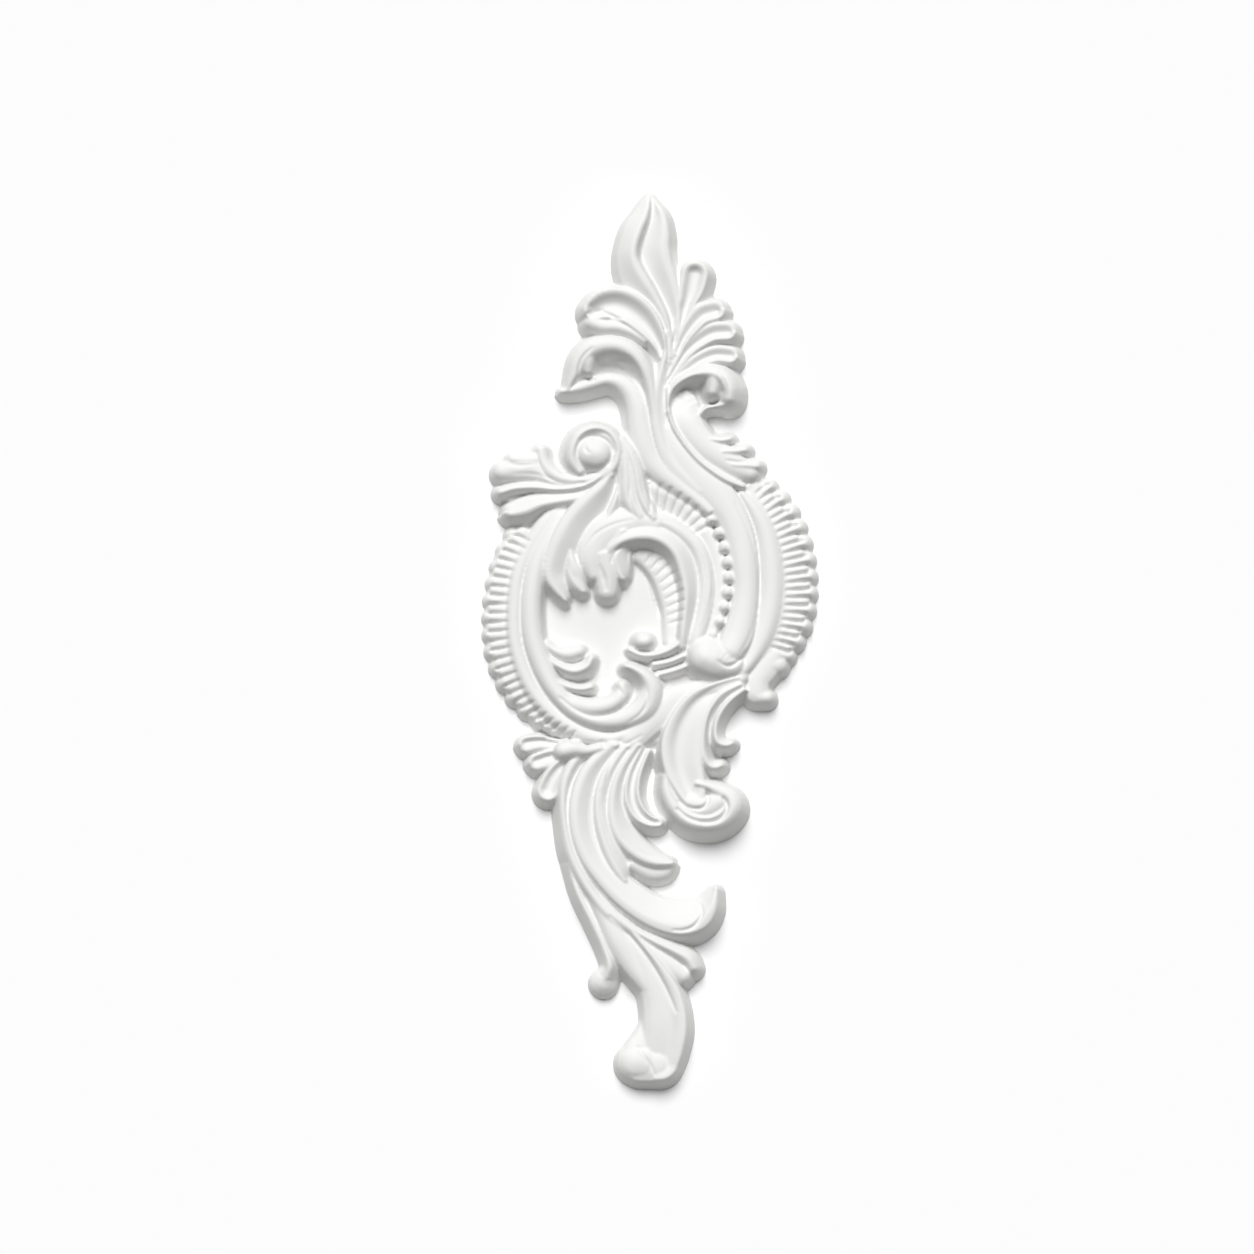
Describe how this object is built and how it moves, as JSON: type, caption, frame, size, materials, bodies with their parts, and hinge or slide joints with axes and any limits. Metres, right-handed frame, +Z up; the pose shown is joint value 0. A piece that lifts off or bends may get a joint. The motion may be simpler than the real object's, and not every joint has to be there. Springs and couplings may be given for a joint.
{
  "type": "rocaille applique",
  "caption": "Tall carved rococo wall ornament with a flat back: crown leaf, acanthus scrolls, fluted shell ring and a curled tail",
  "frame": {"origin": "middle of the flat back face, level with the small volute in the middle of the ring", "axes": "+Z up towards the crown leaf, +Y into the wall (the back's outward normal), the carving faces -Y, +X to the right as seen by someone facing the carving"},
  "size_m": [0.2245, 0.0256, 0.6002],
  "materials": {
    "primed_white": "primed white, matt"
  },
  "bodies": {
    "root": {"rocaille_applique": "primed_white"}
  },
  "joints": []
}
